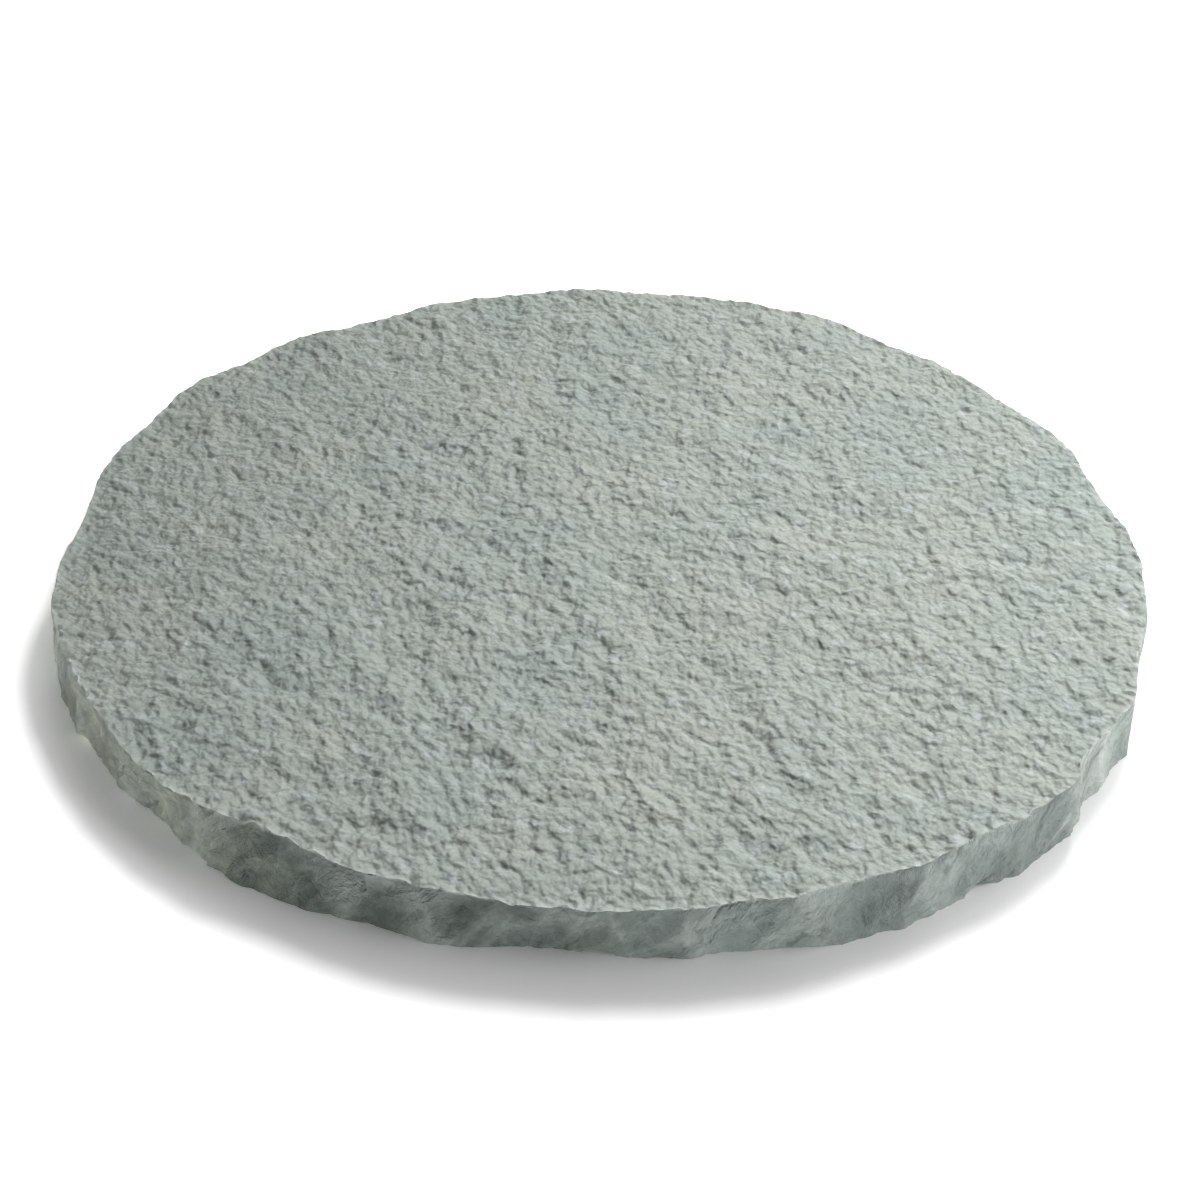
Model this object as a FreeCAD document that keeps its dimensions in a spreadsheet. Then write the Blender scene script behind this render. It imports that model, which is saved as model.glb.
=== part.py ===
import FreeCAD, Part
import Sketcher
import math
import os

# A garden stepping stone: one round slab of natural stone, split to its thickness and pitched to a
# circle by hand. Lengths are in millimetres. The origin is the middle of the underside, and +Z is up.

doc = FreeCAD.newDocument("stepping_stone")
UP = FreeCAD.Vector(0, 0, 1)

# The driving dimensions, each in a cell with its name as the alias
SIZES = [
    ("stone_diameter", 450, "the round that the rim is pitched to"),
    ("slab_thickness", 25, "underside to top"),
    ("blow_error", 4, "how far off the round an ordinary blow lands"),
    ("scar_flatness", 7, "radius of a scar's hollow, in widths of the scar"),
    ("flute_radius", 30, "radius of an upright hollow beside the sharp corner"),
    ("spall_radius", 24, "radius of an ordinary chip out of the lower edge"),
    ("spall_bite", 4, "how far that chip reaches up the rim and under the stone"),
]

sheet = doc.addObject("Spreadsheet::Sheet", "Sizes")
for row, (alias, value, note) in enumerate(SIZES, start=1):
    sheet.set(f"A{row}", alias)
    sheet.set(f"B{row}", str(value))
    sheet.set(f"C{row}", note)
    sheet.setAlias(f"B{row}", alias)
doc.recompute()

stone = doc.addObject("PartDesign::Body", "Stone")
stone.Label = "stepping_stone"

# The blank, a round slab larger than the stone by more than any blow is off, so the blows break all of
# its edge away
outline = stone.newObject("Sketcher::SketchObject", "BlankOutline")
floor_plane = next(plane for plane in stone.Origin.OriginFeatures if plane.Role == "XY_Plane")
outline.AttachmentSupport = [(floor_plane, "")]
outline.MapMode = "FlatFace"
rim = outline.addGeometry(Part.Circle(FreeCAD.Vector(), UP, 1))
outline.addConstraint(Sketcher.Constraint("Coincident", rim, 3, -1, 1))
radius = outline.addConstraint(Sketcher.Constraint("Radius", rim, 1))
outline.renameConstraint(radius, "blank_radius")
outline.setExpression("Constraints.blank_radius", "Sizes.stone_diameter / 2 + 3 * Sizes.blow_error")

blank = stone.newObject("PartDesign::Pad", "Blank")
blank.Profile = outline
blank.setExpression("Length", "Sizes.slab_thickness")


def hollow_out(name, radius, bearing, distance, height):
    """Cut a spherical hollow into the rim, its centre at a bearing in degrees, a distance and a height."""
    hollow = stone.newObject("PartDesign::SubtractiveSphere", name)
    # Neighbouring hollows have no faces in common to merge
    hollow.Refine = False
    # The seam of the sphere is turned away from the stone
    hollow.Placement = FreeCAD.Placement(FreeCAD.Vector(), FreeCAD.Rotation(UP, bearing))
    hollow.setExpression("Radius", radius)
    hollow.setExpression("Placement.Base.x", f"({distance}) * cos({bearing} deg)")
    hollow.setExpression("Placement.Base.y", f"({distance}) * sin({bearing} deg)")
    hollow.setExpression("Placement.Base.z", height)


# The pitched rim. Each blow on the pitching tool breaks off one flake and leaves a dished scar, and two
# scars meet in a ridge that runs from the top edge to the lower one. A row gives the bearing of the blow
# in degrees, how far out of the round it landed in blow errors, and the lean of its scar in degrees,
# positive where the foot stands out.
BLOWS = [
    (4, -0.6, -4), (14, -0.9, 5), (24, -0.4, -2), (34, -0.7, 7), (43, -1.0, -3), (51, -0.7, 4),
    (60, 0.4, -6), (69, 0.6, 5), (78, 0.1, -2), (87, -0.1, 8), (95, 0.0, -5), (104, -0.4, 3),
    (112, -0.7, -6), (121, -0.9, 6), (130, -0.1, -3), (139, 0.3, 9), (148, 0.3, -4), (157, 0.0, 4),
    (166, -0.5, -7), (176, -0.9, 3), (186, 0.1, -2), (196, 0.7, 3), (204, 0.6, 6), (213, 0.3, 2),
    (222, 0.3, -5), (232, 0.5, 8), (241, -0.3, 16), (250, -0.5, 3), (258, -0.4, 3), (266, -1.0, -9),
    (274, -0.4, -3), (282, -0.3, -2), (293, 0.6, 11), (305, 0.7, 8), (316, 1.4, 5), (329, 0.8, 0),
    (345, -0.5, -1), (355, -0.3, 2),
]
for number, (bearing, error, lean) in enumerate(BLOWS):
    before = BLOWS[number - 1][0]
    after = BLOWS[(number + 1) % len(BLOWS)][0]
    width = math.radians((after - before) % 360 / 2)
    scar_radius = f"Sizes.stone_diameter / 2 * {width:.4f} * Sizes.scar_flatness"
    hollow_out(
        f"Blow{number:02}", scar_radius, bearing,
        f"Sizes.stone_diameter / 2 + Sizes.blow_error * {error} + {scar_radius} * cos({lean} deg)",
        f"Sizes.slab_thickness / 2 + {scar_radius} * sin({lean} deg)",
    )

# The flutes, where the rim broke in short upright hollows beside its one sharp corner, deeper than the
# scars and with a keen ridge between the two. A row gives the same as a blow's.
FLUTES = [(325.6, -0.5, 6), (331, -0.25, 3)]
for number, (bearing, error, lean) in enumerate(FLUTES):
    hollow_out(
        f"Flute{number}", "Sizes.flute_radius", bearing,
        f"Sizes.stone_diameter / 2 + Sizes.blow_error * {error} + Sizes.flute_radius * cos({lean} deg)",
        f"Sizes.slab_thickness / 2 + Sizes.flute_radius * sin({lean} deg)",
    )

# The spalls, small chips that the blows burst out of the lower edge. A row gives the bearing, how far out
# of the round the chipped edge is in blow errors, and the size of the chip. Its centre lies as far outside
# that edge as below it.
SPALLS = [
    (20, -0.2, 1.2), (55, 0.0, 0.7), (91, 0.6, 1.3), (126, 0.5, 0.8), (152, 0.0, 1.1), (181, 0.0, 0.6),
    (209, 0.8, 0.7), (229, 1.0, 0.8), (270, -1.2, 0.5), (285.5, 0.8, 0.6), (307.5, 0.9, 0.5),
    (347, -0.3, 0.7),
]
SPALL_OFFSET = "(sqrt(2 * Sizes.spall_radius ^ 2 - Sizes.spall_bite ^ 2) - Sizes.spall_bite) / 2"
for number, (bearing, error, size) in enumerate(SPALLS):
    hollow_out(
        f"Spall{number:02}", f"Sizes.spall_radius * {size}", bearing,
        f"Sizes.stone_diameter / 2 + Sizes.blow_error * {error} + {size} * {SPALL_OFFSET}",
        f"-{size} * {SPALL_OFFSET}",
    )

doc.recompute()
for item in doc.Objects:
    if "Invalid" in item.State or "Error" in item.State:
        raise RuntimeError(f"{item.Name} failed: {item.State}")
if stone.Shape.isNull() or not stone.Shape.isValid() or len(stone.Shape.Solids) != 1:
    raise RuntimeError("the stone is not one valid solid")

os.makedirs("parts", exist_ok=True)
stone.Shape.exportStep(f"parts/{stone.Label}.step")
box = stone.Shape.BoundBox
print(f"{stone.Label}: {box.XLength:.1f} x {box.YLength:.1f} x {box.ZLength:.1f} mm, "
      f"volume {stone.Shape.Volume / 1000:.0f} cm3")
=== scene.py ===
import math

import bpy
import numpy as np
from mathutils import Euler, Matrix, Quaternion, Vector
from mathutils.bvhtree import BVHTree


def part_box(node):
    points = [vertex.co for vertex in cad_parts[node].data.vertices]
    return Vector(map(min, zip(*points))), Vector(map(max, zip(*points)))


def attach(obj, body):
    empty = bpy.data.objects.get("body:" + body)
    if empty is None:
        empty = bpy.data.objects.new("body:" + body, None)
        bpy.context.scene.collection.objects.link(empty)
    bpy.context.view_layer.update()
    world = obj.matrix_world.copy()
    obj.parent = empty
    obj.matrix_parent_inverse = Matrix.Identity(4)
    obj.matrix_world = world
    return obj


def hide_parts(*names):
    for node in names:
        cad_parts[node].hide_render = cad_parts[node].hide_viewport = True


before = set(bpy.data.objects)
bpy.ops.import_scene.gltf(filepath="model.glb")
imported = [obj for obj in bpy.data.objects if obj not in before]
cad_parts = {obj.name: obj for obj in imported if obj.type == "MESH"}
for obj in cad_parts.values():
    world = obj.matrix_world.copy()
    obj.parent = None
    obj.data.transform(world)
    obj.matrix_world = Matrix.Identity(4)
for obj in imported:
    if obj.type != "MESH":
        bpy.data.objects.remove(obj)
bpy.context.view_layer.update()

# The slab. It is one piece of fine-grained grey-green sandstone, split to its thickness, with its rim broken
# to a round by blows on a pitching tool and its top dressed rough for a sure step. It lies loose on the
# ground.

MM = 0.001
NODE = "stepping_stone"
slab_low, slab_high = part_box(NODE)
THICKNESS = slab_high.z - slab_low.z

# The tread is a square grid drawn out to the round, so each ring of it has eight points more than the
# ring inside it. The underside has a quarter as many points along the rim.
TREAD_RINGS = 136
UNDERSIDE_RINGS = TREAD_RINGS // 4
RIM_POINTS = 8 * TREAD_RINGS
RIM_ROWS = 14
UNDERSIDE_MARGIN = 0.985

# The rim is read off the solid, which holds the scars of the blows
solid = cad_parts[NODE]
solid_tree = BVHTree.FromPolygons(
    [v.co for v in solid.data.vertices], [p.vertices for p in solid.data.polygons]
)
bearings = np.arange(RIM_POINTS) * math.tau / RIM_POINTS
JUST_INSIDE = 0.02 * MM


def rim_ring(height):
    """Distances from the slab's axis to its pitched rim, at one height and every bearing."""
    level = min(max(height, slab_low.z + JUST_INSIDE), slab_high.z - JUST_INSIDE)
    distances = []
    for bearing in bearings:
        outward = Vector((math.cos(bearing), math.sin(bearing), 0))
        start = 2 * slab_high.x * outward + Vector((0, 0, level))
        hit = solid_tree.ray_cast(start, -outward)[0]
        distances.append(hit.xy.length)
    return np.array(distances)


def disc(rings, radii, height):
    """Points and quads of a square grid drawn out to the rim, and its outer points in order of bearing."""
    side = np.linspace(-1, 1, 2 * rings + 1)
    across, along = np.meshgrid(side, side)
    reach = np.maximum(abs(across), abs(along))
    flat = abs(across) >= abs(along)
    safe_across = np.where(across == 0, 1, across)
    safe_along = np.where(along == 0, 1, along)
    bearing = np.where(
        flat,
        math.pi / 4 * along / safe_across + np.where(across < 0, math.pi, 0),
        math.pi / 2 - math.pi / 4 * across / safe_along + np.where(along < 0, math.pi, 0),
    ) % math.tau
    distance = reach * np.interp(bearing, bearings, radii, period=math.tau)
    points = np.stack(
        [distance * np.cos(bearing), distance * np.sin(bearing), np.full_like(distance, height)], axis=-1
    ).reshape(-1, 3)
    index = np.arange(side.size ** 2).reshape(side.size, side.size)
    corners = [index[:-1, :-1], index[:-1, 1:], index[1:, 1:], index[1:, :-1]]
    quads = np.stack(corners, axis=-1).reshape(-1, 4)
    half_ring = 0.5 / rings
    outer = index[reach > 1 - half_ring]
    return points, quads, outer[np.argsort(bearing.ravel()[outer])]


heights = np.linspace(slab_high.z, slab_low.z, RIM_ROWS + 1)
rim_radii = [rim_ring(height) for height in heights]

# The arris is bruised, so the ridges between the scars are eased where they run out in it
EASE = 0.55
EASE_SPAN = 8
EASED_ROWS = 4
for number in range(EASED_ROWS):
    share = EASE * (1 - number / EASED_ROWS)
    turned = [np.roll(rim_radii[number], step) for step in range(-EASE_SPAN, EASE_SPAN + 1)]
    rim_radii[number] = (1 - share) * rim_radii[number] + share * np.mean(turned, axis=0)

tread_points, tread_quads, arris = disc(TREAD_RINGS, rim_radii[0], slab_high.z)
base_points, base_quads, base_edge = disc(UNDERSIDE_RINGS, UNDERSIDE_MARGIN * rim_radii[-1], slab_low.z)
rim_points = np.concatenate([
    np.stack([radii * np.cos(bearings), radii * np.sin(bearings), np.full_like(radii, height)], axis=-1)
    for radii, height in zip(rim_radii[1:], heights[1:])
])
points = np.concatenate([tread_points, rim_points, base_points])
tread_count = len(tread_points)
base_start = tread_count + len(rim_points)

# The rim's rows start at the arris and end at the foot, where triangles close the step from four points of
# the rim to one of the underside
rows = np.vstack([arris, np.arange(tread_count, base_start).reshape(RIM_ROWS, RIM_POINTS)])
after = np.roll(rows, -1, axis=1)
rim_quads = np.stack([rows[1:], after[1:], after[:-1], rows[:-1]], axis=-1).reshape(-1, 4)
foot = rows[-1].reshape(-1, 4)
next_foot = np.roll(foot[:, 0], -1)
inner = base_start + base_edge
next_inner = np.roll(inner, -1)
foot_triangles = np.concatenate([
    np.stack([inner, foot[:, 1], foot[:, 0]], axis=-1),
    np.stack([inner, foot[:, 2], foot[:, 1]], axis=-1),
    np.stack([inner, next_inner, foot[:, 2]], axis=-1),
    np.stack([next_inner, foot[:, 3], foot[:, 2]], axis=-1),
    np.stack([next_inner, next_foot, foot[:, 3]], axis=-1),
])
faces = (
    tread_quads.tolist() + rim_quads.tolist() + foot_triangles.tolist()
    + (base_start + base_quads[:, ::-1]).tolist()
)
slab_mesh = bpy.data.meshes.new("slab")
slab_mesh.from_pydata(points.tolist(), [], faces)
slab_mesh.shade_smooth()

# How much each point belongs to the tread, to the rim and to its two edges. The rim's share fades out across
# the tread, so that the tread follows the rim where it is flaked.
FADE = 18 * MM
ARRIS_SHARE = 0.15
FOOT_SHARE = 0.3
FULL_FROM = 0.35
FULL_TO = 0.7
ARRIS_WIDTH = 2.5 * MM
ABOVE_FOOT = 0.5
shares = {name: np.zeros(len(points)) for name in ("tread", "rim", "arris", "foot", "keen")}
tread_reach = np.hypot(tread_points[:, 0], tread_points[:, 1])
tread_bearing = np.arctan2(tread_points[:, 1], tread_points[:, 0]) % math.tau
from_arris = np.interp(tread_bearing, bearings, rim_radii[0], period=math.tau) - tread_reach
shares["tread"][:tread_count] = 1
shares["rim"][:tread_count] = ARRIS_SHARE * np.clip(1 - from_arris / FADE, 0, 1) ** 2
row_shares = np.interp(
    np.linspace(0, 1, RIM_ROWS + 1), [0, FULL_FROM, FULL_TO, 1], [ARRIS_SHARE, 1, 1, FOOT_SHARE]
)
shares["rim"][rows.ravel()] = np.repeat(row_shares, RIM_POINTS)
shares["arris"][:tread_count] = np.clip(1 - from_arris / ARRIS_WIDTH, 0, 1)
shares["foot"][rows[-1]] = 1
shares["foot"][rows[-2]] = ABOVE_FOOT

# The rim stands out from its neighbours where two scars meet in a keen ridge
RIDGE_SPAN = 2
RIDGE_RISE = 0.25 * MM
for row, radii in zip(rows, rim_radii):
    beside = (np.roll(radii, RIDGE_SPAN) + np.roll(radii, -RIDGE_SPAN)) / 2
    shares["keen"][row] = np.clip((radii - beside) / RIDGE_RISE, 0, 1)
for name, share in shares.items():
    slab_mesh.attributes.new(name, "FLOAT", "POINT").data.foreach_set("value", share)

# Where the rim's pattern is read. It is moved round the stone in step with the height, so the pattern leans.
LEAN = 0.6
STRETCH = 0.75
round_stone = np.stack([-points[:, 1], points[:, 0], np.zeros(len(points))], axis=-1)
round_stone /= np.maximum(np.hypot(points[:, 0], points[:, 1]), MM)[:, None]
leaning = points * (1, 1, STRETCH) - LEAN * points[:, 2:] * round_stone

# Where the tread's relief is read. It is drawn out along the grain of the stone, which runs along Y, and
# turned askew, so that no rows of the noise lie along the axes.
GRAIN_STRETCH = 1.18
ASKEW = np.array(Euler((0.7, 0.4, 0.9)).to_matrix())
grained = points / (1, GRAIN_STRETCH, 1) @ ASKEW
for name, places in (("leaning", leaning), ("grained", grained)):
    slab_mesh.attributes.new(name, "FLOAT_VECTOR", "POINT").data.foreach_set("vector", places.ravel())

slab = bpy.data.objects.new("stone_slab", slab_mesh)
bpy.context.scene.collection.objects.link(slab)

# The relief. The tread was burst into chips a few millimetres wide with a slow wave under them. The blows
# left shallow flaking on the rim, large dishes with smaller ones in them, and nicks along its two edges.
RELIEF = {
    "Tread Wave": 34 * MM,
    "Tread Depth": 11.5 * MM,
    "Chip Size": 5.5 * MM,
    "Chip Tilt": 0.12,
    "Dish Size": 30 * MM,
    "Dish Depth": 7.0 * MM,
    "Flake Size": 12 * MM,
    "Flake Depth": 3.2 * MM,
    "Flake Rise": 0.8 * MM,
    "Nick Size": 7 * MM,
    "Nick Depth": 5 * MM,
    "Nick Rise": 0.2 * MM,
    "Crisp Angle": math.radians(16),
    "Crest": 1.2 * MM,
    "Seed": 7.0,
}
WAVE_DETAIL = 3.0
WAVE_ROUGHNESS = 0.8
NICK_DETAIL = 2.0
NICK_ROUGHNESS = 0.6
ARRIS_CALM = 0.3
NEARLY_ALL = 0.99
MOSTLY_TREAD = 0.9


def add(tree, kind, inputs=None, **settings):
    """Add a node to a tree with its settings, and set or link its inputs."""
    node = tree.nodes.new(kind)
    for name, value in settings.items():
        setattr(node, name, value)
    for socket, value in (inputs or {}).items():
        if isinstance(value, bpy.types.NodeSocket):
            tree.links.new(value, node.inputs[socket])
        else:
            node.inputs[socket].default_value = value
    return node


def leaning_chips(tree, place, size, tilt, seed):
    """Height of chips of a size, each a flat facet with its own random lean, at a place."""
    scale = add(tree, "ShaderNodeMath", {0: 1.0, 1: size}, operation="DIVIDE").outputs[0]
    chip = add(
        tree, "ShaderNodeTexVoronoi", {"Vector": place, "W": seed, "Scale": scale}, voronoi_dimensions="4D"
    ).outputs
    arm = add(
        tree, "ShaderNodeVectorMath", {0: place, 1: chip["Position"]}, operation="SUBTRACT"
    ).outputs[0]
    middle = (0.5, 0.5, 0.5)
    lean = add(tree, "ShaderNodeVectorMath", {0: chip["Color"], 1: middle}, operation="SUBTRACT").outputs[0]
    rise = add(tree, "ShaderNodeVectorMath", {0: arm, 1: lean}, operation="DOT_PRODUCT").outputs["Value"]
    return add(tree, "ShaderNodeMath", {0: rise, 1: tilt}, operation="MULTIPLY").outputs[0]


def dishes(tree, place, size, depth):
    """Height of shallow round dishes that meet in ridges, at a place."""
    scale = add(tree, "ShaderNodeMath", {0: 1.0, 1: size}, operation="DIVIDE").outputs[0]
    reach = add(tree, "ShaderNodeTexVoronoi", {"Vector": place, "Scale": scale}).outputs["Distance"]
    square = add(tree, "ShaderNodeMath", {0: reach, 1: reach}, operation="MULTIPLY").outputs[0]
    half_way_square = 0.25
    bowl = add(tree, "ShaderNodeMath", {0: square, 1: half_way_square}, operation="SUBTRACT").outputs[0]
    return add(tree, "ShaderNodeMath", {0: bowl, 1: depth}, operation="MULTIPLY").outputs[0]


def wave(tree, place, size, depth, seed, detail, roughness):
    """Height of a rough wave, up and down from zero, at a place."""
    scale = add(tree, "ShaderNodeMath", {0: 1.0, 1: size}, operation="DIVIDE").outputs[0]
    level = add(tree, "ShaderNodeTexNoise", {
        "Vector": place, "W": seed, "Scale": scale, "Detail": detail, "Roughness": roughness,
    }, noise_dimensions="4D").outputs[0]
    middle = 0.5
    swing = add(tree, "ShaderNodeMath", {0: level, 1: middle}, operation="SUBTRACT").outputs[0]
    return add(tree, "ShaderNodeMath", {0: swing, 1: depth}, operation="MULTIPLY").outputs[0]


dressed = bpy.data.materials.new("dressed_sandstone")
split = bpy.data.materials.new("split_sandstone")

relief = bpy.data.node_groups.new("dressed_relief", "GeometryNodeTree")
relief.interface.new_socket("Geometry", in_out="INPUT", socket_type="NodeSocketGeometry")
relief.interface.new_socket("Geometry", in_out="OUTPUT", socket_type="NodeSocketGeometry")
socket_ids = {
    name: relief.interface.new_socket(name, in_out="INPUT", socket_type="NodeSocketFloat").identifier
    for name in RELIEF
}
given = add(relief, "NodeGroupInput").outputs
place = add(relief, "GeometryNodeInputPosition").outputs[0]
on_tread, on_rim, on_arris, on_foot = [
    add(relief, "GeometryNodeInputNamedAttribute", {"Name": name}, data_type="FLOAT").outputs[0]
    for name in ("tread", "rim", "arris", "foot")
]
grained_place, leaning_place = [
    add(relief, "GeometryNodeInputNamedAttribute", {"Name": name}, data_type="FLOAT_VECTOR").outputs[0]
    for name in ("grained", "leaning")
]

# The tread's relief is lowered, so that most of it lies under the solid's top, and it is calmer at the arris
tread_wave = wave(
    relief, grained_place, given["Tread Wave"], given["Tread Depth"], given["Seed"], WAVE_DETAIL,
    WAVE_ROUGHNESS,
)
chips = leaning_chips(relief, grained_place, given["Chip Size"], given["Chip Tilt"], given["Seed"])
height = add(relief, "ShaderNodeMath", {0: tread_wave, 1: chips}, operation="ADD").outputs[0]
lowered = add(relief, "ShaderNodeMath", {0: height, 1: given["Crest"]}, operation="SUBTRACT").outputs[0]
calm = add(
    relief, "ShaderNodeMath", {0: on_arris, 1: -ARRIS_CALM, 2: 1.0}, operation="MULTIPLY_ADD"
).outputs[0]
tread_share = add(relief, "ShaderNodeMath", {0: on_tread, 1: calm}, operation="MULTIPLY").outputs[0]
drop = add(relief, "ShaderNodeMath", {0: lowered, 1: tread_share}, operation="MULTIPLY").outputs[0]
tread_move = add(relief, "ShaderNodeCombineXYZ", {"Z": drop}).outputs[0]

# The rim's flaking and nicks go in and out, but out past the solid by at most about a millimetre
large_dishes = dishes(relief, leaning_place, given["Dish Size"], given["Dish Depth"])
small_dishes = dishes(relief, leaning_place, given["Flake Size"], given["Flake Depth"])
flaking = add(relief, "ShaderNodeMath", {0: large_dishes, 1: small_dishes}, operation="ADD").outputs[0]
capped = add(relief, "ShaderNodeMath", {0: flaking, 1: given["Flake Rise"]}, operation="MINIMUM").outputs[0]
flake = add(relief, "ShaderNodeMath", {0: capped, 1: on_rim}, operation="MULTIPLY").outputs[0]
nicks = wave(
    relief, place, given["Nick Size"], given["Nick Depth"], given["Seed"], NICK_DETAIL, NICK_ROUGHNESS
)
inward = add(relief, "ShaderNodeMath", {0: nicks, 1: given["Nick Rise"]}, operation="MINIMUM").outputs[0]
on_edge = add(relief, "ShaderNodeMath", {0: on_arris, 1: on_foot}, operation="MAXIMUM").outputs[0]
nick = add(relief, "ShaderNodeMath", {0: inward, 1: on_edge}, operation="MULTIPLY").outputs[0]
sideways = add(relief, "ShaderNodeMath", {0: flake, 1: nick}, operation="ADD").outputs[0]
level_place = add(
    relief, "ShaderNodeVectorMath", {0: place, 1: (1.0, 1.0, 0.0)}, operation="MULTIPLY"
).outputs[0]
outward = add(relief, "ShaderNodeVectorMath", {0: level_place}, operation="NORMALIZE").outputs[0]
rim_move = add(
    relief, "ShaderNodeVectorMath", {0: outward, "Scale": sideways}, operation="SCALE"
).outputs[0]
move = add(relief, "ShaderNodeVectorMath", {0: rim_move, 1: tread_move}, operation="ADD").outputs[0]
moved = add(relief, "GeometryNodeSetPosition", {"Geometry": given["Geometry"], "Offset": move}).outputs[0]

# The rim's edges are crisp where they bend, and its ridges are noted for the colour, which paints them pale,
# partly as a bruise and partly as a highlight
bend = add(relief, "GeometryNodeInputMeshEdgeAngle").outputs["Unsigned Angle"]
bent = add(relief, "ShaderNodeMath", {0: bend, 1: given["Crisp Angle"]}, operation="GREATER_THAN").outputs[0]
rim_edge = add(
    relief, "ShaderNodeMath", {0: on_rim, 1: NEARLY_ALL * ARRIS_SHARE}, operation="GREATER_THAN"
).outputs[0]
broken = add(relief, "ShaderNodeMath", {0: bent, 1: rim_edge}, operation="MULTIPLY").outputs[0]
crisp = add(
    relief, "GeometryNodeStoreNamedAttribute", {"Geometry": moved, "Name": "sharp_edge", "Value": broken},
    data_type="BOOLEAN", domain="EDGE",
).outputs[0]
noted = add(
    relief, "GeometryNodeStoreNamedAttribute", {"Geometry": crisp, "Name": "ridge", "Value": flaking},
    data_type="FLOAT", domain="POINT",
).outputs[0]
realized = add(relief, "GeometryNodeRealizeInstances", {"Geometry": noted}).outputs[0]
is_tread = add(
    relief, "FunctionNodeCompare", {"A": on_tread, "B": MOSTLY_TREAD}, data_type="FLOAT",
    operation="GREATER_THAN",
).outputs[0]
all_split = add(relief, "GeometryNodeSetMaterial", {"Geometry": realized, "Material": split}).outputs[0]
finished = add(
    relief, "GeometryNodeSetMaterial", {"Geometry": all_split, "Selection": is_tread, "Material": dressed}
).outputs[0]
add(relief, "NodeGroupOutput", {"Geometry": finished})

dressing = slab.modifiers.new("dressing", "NODES")
dressing.node_group = relief
for name, value in RELIEF.items():
    dressing[socket_ids[name]] = value
evaluated = slab.evaluated_get(bpy.context.evaluated_depsgraph_get())
slab.data = bpy.data.meshes.new_from_object(evaluated)
slab.modifiers.remove(dressing)

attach(slab, "root")
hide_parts(NODE)


def hex_colour(code):
    """Linear colour of an sRGB hex value."""
    channels = [int(code[k:k + 2], 16) / 255 for k in (1, 3, 5)]
    linear = [c / 12.92 if c <= 0.04045 else ((c + 0.055) / 1.055) ** 2.4 for c in channels]
    return (*linear, 1)


def mottle(tree, place, size, detail, roughness):
    """Soft mottling from 0 to 1 with spots of a size, spread out from the range that noise mostly has."""
    level = add(tree, "ShaderNodeTexNoise", {
        "Vector": place, "Scale": 1 / size, "Detail": detail, "Roughness": roughness,
    }).outputs[0]
    return add(tree, "ShaderNodeMapRange", {"Value": level, "From Min": 0.3, "From Max": 0.7}).outputs[0]


def patch(tree, place, centre, edge, heart, share):
    """Share of a soft patch about a point, from none at the edge to the most at the heart."""
    away = add(tree, "ShaderNodeVectorMath", {0: place, 1: centre}, operation="DISTANCE").outputs["Value"]
    return add(tree, "ShaderNodeMapRange", {
        "Value": away, "From Min": edge, "From Max": heart, "To Max": share,
    }, interpolation_type="SMOOTHSTEP").outputs[0]


# Dressed sandstone. A flame or a bush hammer bursts the grains of the face, which leaves it dry and matt. It
# is grey-green in soft clouds, with a pale bloom on fresh chips and a paler line along the arris, partly a
# bruise and partly a painted highlight.
# Its sand grains are too fine to show in the render, so they are drawn coarser.
CLOUD_COLOURS = ("#a4afa9", "#b0b6ad")
BLOOM_COLOUR = "#c6cdcf"
ARRIS_BRUISE_AND_HIGHLIGHT_COLOUR = "#c8cfc8"
CLOUD_SIZE = 45 * MM
BLOOM_SIZE = 8 * MM
BLOOM_RANGE = (0.6, 0.95)
BLOOM_SHARE = 0.5
DRESSED_GRAIN = 1.3 * MM
DRESSED_GRAIN_TONES = (0.93, 1.07)
ARRIS_SPOT = 5 * MM
PIT_SIZE = 5.5 * MM
PIT_DEPTH = 5.2 * MM
DRESSED_ROUGHNESS = 0.9

dressed.use_nodes = True
tree = dressed.node_tree
shader = tree.nodes["Principled BSDF"]
where = add(tree, "ShaderNodeTexCoord").outputs["Object"]
clouds = mottle(tree, where, CLOUD_SIZE, detail=3.0, roughness=0.6)
ground = add(tree, "ShaderNodeMix", {
    "Factor": clouds, "A": hex_colour(CLOUD_COLOURS[0]), "B": hex_colour(CLOUD_COLOURS[1]),
}, data_type="RGBA").outputs["Result"]
bloom = add(tree, "ShaderNodeMapRange", {
    "Value": mottle(tree, where, BLOOM_SIZE, detail=3.0, roughness=0.6), "From Min": BLOOM_RANGE[0],
    "From Max": BLOOM_RANGE[1], "To Max": BLOOM_SHARE,
}).outputs[0]
ground = add(
    tree, "ShaderNodeMix", {"Factor": bloom, "A": ground, "B": hex_colour(BLOOM_COLOUR)}, data_type="RGBA"
).outputs["Result"]
grain = add(tree, "ShaderNodeMapRange", {
    "Value": mottle(tree, where, DRESSED_GRAIN, detail=1.0, roughness=0.6), "To Min": DRESSED_GRAIN_TONES[0],
    "To Max": DRESSED_GRAIN_TONES[1],
}).outputs[0]
ground = add(tree, "ShaderNodeVectorMath", {0: ground, "Scale": grain}, operation="SCALE").outputs[0]
# The pale line along the arris, in spots, is partly a bruise and partly a painted highlight
edge = add(tree, "ShaderNodeAttribute", attribute_name="arris").outputs["Fac"]
spots = mottle(tree, where, ARRIS_SPOT, detail=2.0, roughness=0.6)
bruise_and_highlight = add(tree, "ShaderNodeMath", {0: edge, 1: spots}, operation="MULTIPLY").outputs[0]
ground = add(
    tree, "ShaderNodeMix", {"Factor": bruise_and_highlight, "A": ground, "B": hex_colour(ARRIS_BRUISE_AND_HIGHLIGHT_COLOUR)}, data_type="RGBA"
).outputs["Result"]
tree.links.new(ground, shader.inputs["Base Color"])
shader.inputs["Roughness"].default_value = DRESSED_ROUGHNESS
along_grain = add(tree, "ShaderNodeAttribute", attribute_name="grained").outputs["Vector"]
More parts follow.
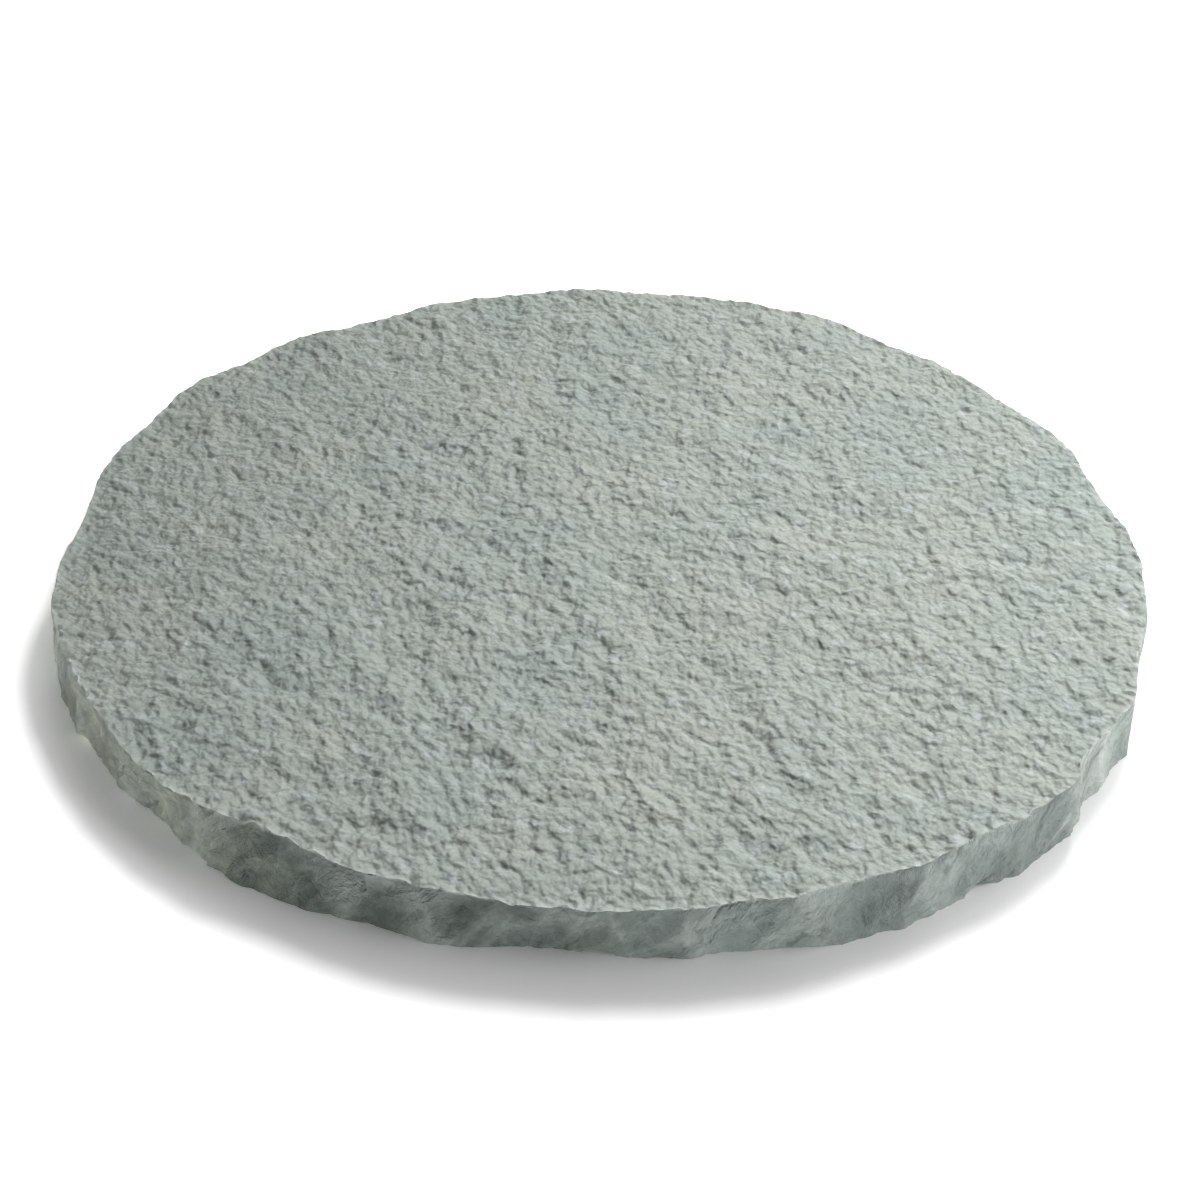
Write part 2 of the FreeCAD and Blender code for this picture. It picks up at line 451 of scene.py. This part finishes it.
pits = add(tree, "ShaderNodeTexNoise", {
    "Vector": along_grain, "Scale": 1 / PIT_SIZE, "Detail": 1.5, "Roughness": 0.6,
}).outputs[0]
bump = add(tree, "ShaderNodeBump", {"Height": pits, "Distance": PIT_DEPTH, "Strength": 1.0}).outputs[0]
tree.links.new(bump, shader.inputs["Normal"])

# Split sandstone. It broke off in flakes, so it is smoother than the tread and takes a faint sheen. The
# flakes differ in tone, partly as painted shade. Ridges are pale and the sharp corner paler, partly as a
# bruise and partly as painted light, a patch on the front is darker, dark spots are painted shade of chips
# and cracks, and one side is weathered olive and painted lighter. Its grains are drawn coarser than they are
# as well.
FRESH_COLOUR = "#aab6b1"
OLIVE_AND_LIGHT_COLOUR = "#d3d9c6"
DULL_COLOUR = "#8c9792"
DARK_PATCH_COLOUR = "#5c665d"
CORNER_BRUISE_AND_LIGHT_COLOUR = "#d8ddd8"
RIDGE_BRUISE_AND_HIGHLIGHT_COLOUR = "#cfd7d2"
CHIP_SHADE_COLOUR = "#66706a"
BRUISE_AND_HIGHLIGHT_COLOUR = "#dde3dd"
OLIVE_AND_LIGHT_FROM = -45 * MM
OLIVE_AND_LIGHT_TO = -185 * MM
DULL_SIZE = 12 * MM
FLAKE_TONES_AND_SHADE = {"Dish Size": (0.8, 1.14), "Flake Size": (0.86, 1.12)}
SPLIT_GRAIN = 2.6 * MM
SPLIT_GRAIN_TONES = (0.91, 1.09)
DARK_PATCH_CENTRE = (-70 * MM, -212 * MM, 8 * MM)
DARK_PATCH_EDGE, DARK_PATCH_HEART, DARK_PATCH_SHARE = 120 * MM, 40 * MM, 0.95
DARK_PATCH_SPOT = 14 * MM
CORNER_CENTRE = (189 * MM, -122 * MM, 12 * MM)
CORNER_EDGE, CORNER_HEART, CORNER_SHARE = 32 * MM, 12 * MM, 0.6
RIDGE_HEIGHTS = (0.3 * MM, 1.8 * MM)
RIDGE_SHARE = 0.6
RIDGE_SPOT = 5 * MM
CHIP_SPOT = 9 * MM
CHIP_RANGE = (0.78, 0.95)
CHIP_SHARE = 0.6
KEEN_SHARE, KEEN_AT_CORNER = 0.25, 1.6
BRUISE_SPOT = 4 * MM
SCALE_SIZE = 5 * MM
SCALE_SHARE = 0.8
SCALE_DEPTH = 2.4 * MM
FACET_SIZE = 13 * MM
FACET_TILT = 0.8
SPLIT_ROUGHNESS = 0.75

split.use_nodes = True
tree = split.node_tree
shader = tree.nodes["Principled BSDF"]
where = add(tree, "ShaderNodeTexCoord").outputs["Object"]
streaks = add(tree, "ShaderNodeAttribute", attribute_name="leaning").outputs["Vector"]
across = add(tree, "ShaderNodeSeparateXYZ", {0: where}).outputs["X"]
# The left side turns weathered olive and paler than the rest, which is partly painted light on that side
olive_and_light = add(
    tree, "ShaderNodeMapRange", {"Value": across, "From Min": OLIVE_AND_LIGHT_FROM, "From Max": OLIVE_AND_LIGHT_TO},
    interpolation_type="SMOOTHSTEP",
).outputs[0]
tone = add(tree, "ShaderNodeMix", {
    "Factor": olive_and_light, "A": hex_colour(FRESH_COLOUR), "B": hex_colour(OLIVE_AND_LIGHT_COLOUR),
}, data_type="RGBA").outputs["Result"]
dull = mottle(tree, where, DULL_SIZE, detail=5.0, roughness=0.7)
ground = add(
    tree, "ShaderNodeMix", {"Factor": dull, "A": hex_colour(DULL_COLOUR), "B": tone}, data_type="RGBA"
).outputs["Result"]

# The tone of each flake, partly its own and partly painted shade of its facet, and the grain
shade = add(tree, "ShaderNodeMapRange", {
    "Value": mottle(tree, where, SPLIT_GRAIN, detail=4.0, roughness=0.7), "To Min": SPLIT_GRAIN_TONES[0],
    "To Max": SPLIT_GRAIN_TONES[1],
}).outputs[0]
for size_name, (dark, light) in FLAKE_TONES_AND_SHADE.items():
    cell = add(
        tree, "ShaderNodeTexVoronoi", {"Vector": streaks, "Scale": 1 / RELIEF[size_name]}
    ).outputs["Color"]
    chance = add(tree, "ShaderNodeSeparateColor", {0: cell}).outputs[0]
    flake_tone_and_shade = add(
        tree, "ShaderNodeMapRange", {"Value": chance, "To Min": dark, "To Max": light}
    ).outputs[0]
    shade = add(tree, "ShaderNodeMath", {0: shade, 1: flake_tone_and_shade}, operation="MULTIPLY").outputs[0]
ground = add(tree, "ShaderNodeVectorMath", {0: ground, "Scale": shade}, operation="SCALE").outputs[0]

# What lies over that, each a share and a colour, from the dark patch to the bruised and painted highlit
# edges
# A patch on the front of the rim, left of the middle, is darker in spots
dark_patch = add(tree, "ShaderNodeMath", {
    0: patch(tree, where, DARK_PATCH_CENTRE, DARK_PATCH_EDGE, DARK_PATCH_HEART, DARK_PATCH_SHARE),
    1: mottle(tree, where, DARK_PATCH_SPOT, detail=3.0, roughness=0.6),
}, operation="MULTIPLY").outputs[0]
# The sharp corner at the right front is painted pale, partly a bruise and partly painted light from the
# right
bruised_and_lit_corner = patch(tree, where, CORNER_CENTRE, CORNER_EDGE, CORNER_HEART, CORNER_SHARE)
# Ridges between the dishes are paler in spots, partly a bruise and partly a painted highlight
ridge = add(tree, "ShaderNodeMapRange", {
    "Value": add(tree, "ShaderNodeAttribute", attribute_name="ridge").outputs["Fac"],
    "From Min": RIDGE_HEIGHTS[0], "From Max": RIDGE_HEIGHTS[1], "To Max": RIDGE_SHARE,
}).outputs[0]
ridge_spots = mottle(tree, streaks, RIDGE_SPOT, detail=4.0, roughness=0.65)
ridge_bruise_and_highlight = add(tree, "ShaderNodeMath", {0: ridge, 1: ridge_spots}, operation="MULTIPLY").outputs[0]
# Dark spots, painted shade that stands in for the shade in small chips and cracks
painted_chip_shade = add(tree, "ShaderNodeMapRange", {
    "Value": mottle(tree, streaks, CHIP_SPOT, detail=3.0, roughness=0.6), "From Min": CHIP_RANGE[0],
    "From Max": CHIP_RANGE[1], "To Max": CHIP_SHARE,
}).outputs[0]
# The arris and keen ridges, most of all at the sharp corner, are paled in spots, partly a bruise and partly
# a painted highlight
keen = add(tree, "ShaderNodeAttribute", attribute_name="keen").outputs["Fac"]
keen_share = add(
    tree, "ShaderNodeMath", {0: bruised_and_lit_corner, 1: KEEN_AT_CORNER, 2: KEEN_SHARE}, operation="MULTIPLY_ADD"
).outputs[0]
fresh_and_highlit = add(tree, "ShaderNodeMath", {0: keen, 1: keen_share}, operation="MULTIPLY").outputs[0]
edge = add(tree, "ShaderNodeAttribute", attribute_name="arris").outputs["Fac"]
struck_and_highlit = add(tree, "ShaderNodeMath", {0: edge, 1: fresh_and_highlit}, operation="MAXIMUM").outputs[0]
bruise_spots = mottle(tree, where, BRUISE_SPOT, detail=3.0, roughness=0.6)
bruise_and_highlight = add(tree, "ShaderNodeMath", {0: struck_and_highlit, 1: bruise_spots}, operation="MULTIPLY").outputs[0]
for share, colour in (
    (dark_patch, DARK_PATCH_COLOUR), (bruised_and_lit_corner, CORNER_BRUISE_AND_LIGHT_COLOUR), (ridge_bruise_and_highlight, RIDGE_BRUISE_AND_HIGHLIGHT_COLOUR), (painted_chip_shade, CHIP_SHADE_COLOUR),
    (bruise_and_highlight, BRUISE_AND_HIGHLIGHT_COLOUR),
):
    ground = add(
        tree, "ShaderNodeMix", {"Factor": share, "A": ground, "B": hex_colour(colour)}, data_type="RGBA"
    ).outputs["Result"]
tree.links.new(ground, shader.inputs["Base Color"])
shader.inputs["Roughness"].default_value = SPLIT_ROUGHNESS

# Fine scales with grains between them, on facets that lean each its own way
scales = add(tree, "ShaderNodeTexVoronoi", {
    "Vector": streaks, "Scale": 1 / SCALE_SIZE, "Detail": 1.5, "Roughness": 0.6,
}, normalize=True).outputs["Distance"]
grains = add(tree, "ShaderNodeTexNoise", {
    "Vector": where, "Scale": 1 / SCALE_SIZE, "Detail": 4.0, "Roughness": 0.7, "Distortion": 0.4,
}).outputs[0]
rough = add(
    tree, "ShaderNodeMath", {0: scales, 1: SCALE_SHARE, 2: grains}, operation="MULTIPLY_ADD"
).outputs[0]
scaly = add(tree, "ShaderNodeBump", {"Height": rough, "Distance": SCALE_DEPTH, "Strength": 1.0}).outputs[0]
facets = leaning_chips(tree, streaks, FACET_SIZE, FACET_TILT, RELIEF["Seed"])
bump = add(
    tree, "ShaderNodeBump", {"Height": facets, "Distance": 1.0, "Strength": 1.0, "Normal": scaly}
).outputs[0]
tree.links.new(bump, shader.inputs["Normal"])

# The floor. It is a sheet of matt white paper, rolled out flat under the stone. To the eye it glows pure
# white outside a ring that paints the shadow's outer edge, and inside the ring it keeps the cast shadow,
# with the paper's white raised towards the left to lighten it there. To all other rays it glows softly,
# which fills in the light on the rim.
FLOOR_HALF = 4.0
PAPER_WHITE = 0.85
PAPER_GLOW = 0.42
SHADOW_SIDES = (-0.25, 0.06)
SHADOW_GAINS = (1.62, 0.9)
SHADOW_CENTRE = (-8.2 * MM, -28.8 * MM, 0.0)
SHADOW_ENDS = (0.2085, 0.2625)


def shown_rays(tree):
    """One for the rays that show a surface to the eye, straight, in a gloss or through glass, else zero."""
    path = add(tree, "ShaderNodeLightPath").outputs
    indirect = add(
        tree, "ShaderNodeMath", {0: path["Is Glossy Ray"], 1: path["Is Transmission Ray"]},
        operation="MAXIMUM",
    ).outputs[0]
    return add(
        tree, "ShaderNodeMath", {0: path["Is Camera Ray"], 1: indirect}, operation="MAXIMUM"
    ).outputs[0]


floor_mesh = bpy.data.meshes.new("floor")
floor_corners = [(-1, -1), (1, -1), (1, 1), (-1, 1)]
floor_mesh.from_pydata([(FLOOR_HALF * x, FLOOR_HALF * y, 0) for x, y in floor_corners], [], [(0, 1, 2, 3)])
floor = bpy.data.objects.new("floor", floor_mesh)
bpy.context.scene.collection.objects.link(floor)

paper = bpy.data.materials.new("white_paper")
paper.use_nodes = True
tree = paper.node_tree
shader = tree.nodes["Principled BSDF"]
shader.inputs["Roughness"].default_value = 1.0
shader.inputs["Specular IOR Level"].default_value = 0.0
where = add(tree, "ShaderNodeTexCoord").outputs["Object"]
shown = shown_rays(tree)
across = add(tree, "ShaderNodeSeparateXYZ", {0: where}).outputs["X"]
gain = add(tree, "ShaderNodeMapRange", {
    "Value": across, "From Min": SHADOW_SIDES[0], "From Max": SHADOW_SIDES[1], "To Min": SHADOW_GAINS[0],
    "To Max": SHADOW_GAINS[1],
}).outputs[0]
white = add(tree, "ShaderNodeMix", {"Factor": shown, "A": PAPER_WHITE, "B": gain}).outputs["Result"]
tree.links.new(white, shader.inputs["Base Color"])
away = add(
    tree, "ShaderNodeVectorMath", {0: where, 1: SHADOW_CENTRE}, operation="DISTANCE"
).outputs["Value"]
clear = add(
    tree, "ShaderNodeMapRange", {"Value": away, "From Min": SHADOW_ENDS[0], "From Max": SHADOW_ENDS[1]},
    interpolation_type="SMOOTHSTEP",
).outputs[0]
glow = add(tree, "ShaderNodeMix", {"Factor": shown, "A": PAPER_GLOW, "B": clear}).outputs["Result"]
shader.inputs["Emission Color"].default_value = (1, 1, 1, 1)
tree.links.new(glow, shader.inputs["Emission Strength"])
floor_mesh.materials.append(paper)

# The studio. A round softbox stands behind the stone and a larger one at its right, in a room that is pure
# white to the eye and gives only a dim light. Angles are in degrees, lengths in metres and powers in watts.
LAMPS = {
    "key": {"bearing": 70, "elevation": 43, "distance": 2.0, "target": (0.28, -0.08, 0.0), "size": 0.65,
            "spread": 50, "power": 2.8},
    "side": {"bearing": -8, "elevation": 38, "distance": 1.0, "target": (0.0, 0.0, 0.0), "size": 0.9,
             "spread": 180, "power": 4.7},
}
ROOM_LIGHT = 0.2
for name, lamp_plan in LAMPS.items():
    lamp_data = bpy.data.lights.new(name, "AREA")
    lamp_data.shape = "DISK"
    lamp_data.size = lamp_plan["size"]
    lamp_data.spread = math.radians(lamp_plan["spread"])
    lamp_data.energy = lamp_plan["power"]
    lamp = bpy.data.objects.new(name, lamp_data)
    bpy.context.scene.collection.objects.link(lamp)
    level = math.radians(lamp_plan["elevation"])
    turn = math.radians(lamp_plan["bearing"])
    direction = Vector((math.cos(level) * math.cos(turn), math.cos(level) * math.sin(turn), math.sin(level)))
    lamp.location = lamp_plan["distance"] * direction
    lamp.rotation_mode = "QUATERNION"
    lamp.rotation_quaternion = (Vector(lamp_plan["target"]) - lamp.location).to_track_quat("-Z", "Y")

world = bpy.data.worlds.new("studio")
bpy.context.scene.world = world
world.use_nodes = True
tree = world.node_tree
background = tree.nodes["Background"]
background.inputs["Color"].default_value = (1, 1, 1, 1)
strength = add(
    tree, "ShaderNodeMapRange", {"Value": shown_rays(tree), "To Min": ROOM_LIGHT, "To Max": 1.0}
).outputs[0]
tree.links.new(strength, background.inputs["Strength"])
bpy.context.scene.view_settings.view_transform = "Standard"

# The camera. It looks down on the tread from the front, a little over a metre away, and is slightly rolled.
EYE_ELEVATION = math.radians(34.11)
EYE_DISTANCE = 1.08
EYE_ROLL = math.radians(1.36)
LENS = 77.3
SENSOR = 36
aim = Vector((-1.4 * MM, -38.9 * MM, THICKNESS))
eye = Vector((
    0, -math.cos(EYE_ELEVATION) * EYE_DISTANCE, math.sin(EYE_ELEVATION) * EYE_DISTANCE + THICKNESS
))
camera_data = bpy.data.cameras.new("camera")
camera_data.lens = LENS
camera_data.sensor_width = SENSOR
camera = bpy.data.objects.new("camera", camera_data)
bpy.context.scene.collection.objects.link(camera)
camera.location = eye
camera.rotation_mode = "QUATERNION"
camera.rotation_quaternion = (aim - eye).to_track_quat("-Z", "Y") @ Quaternion((0, 0, 1), EYE_ROLL)
bpy.context.scene.camera = camera
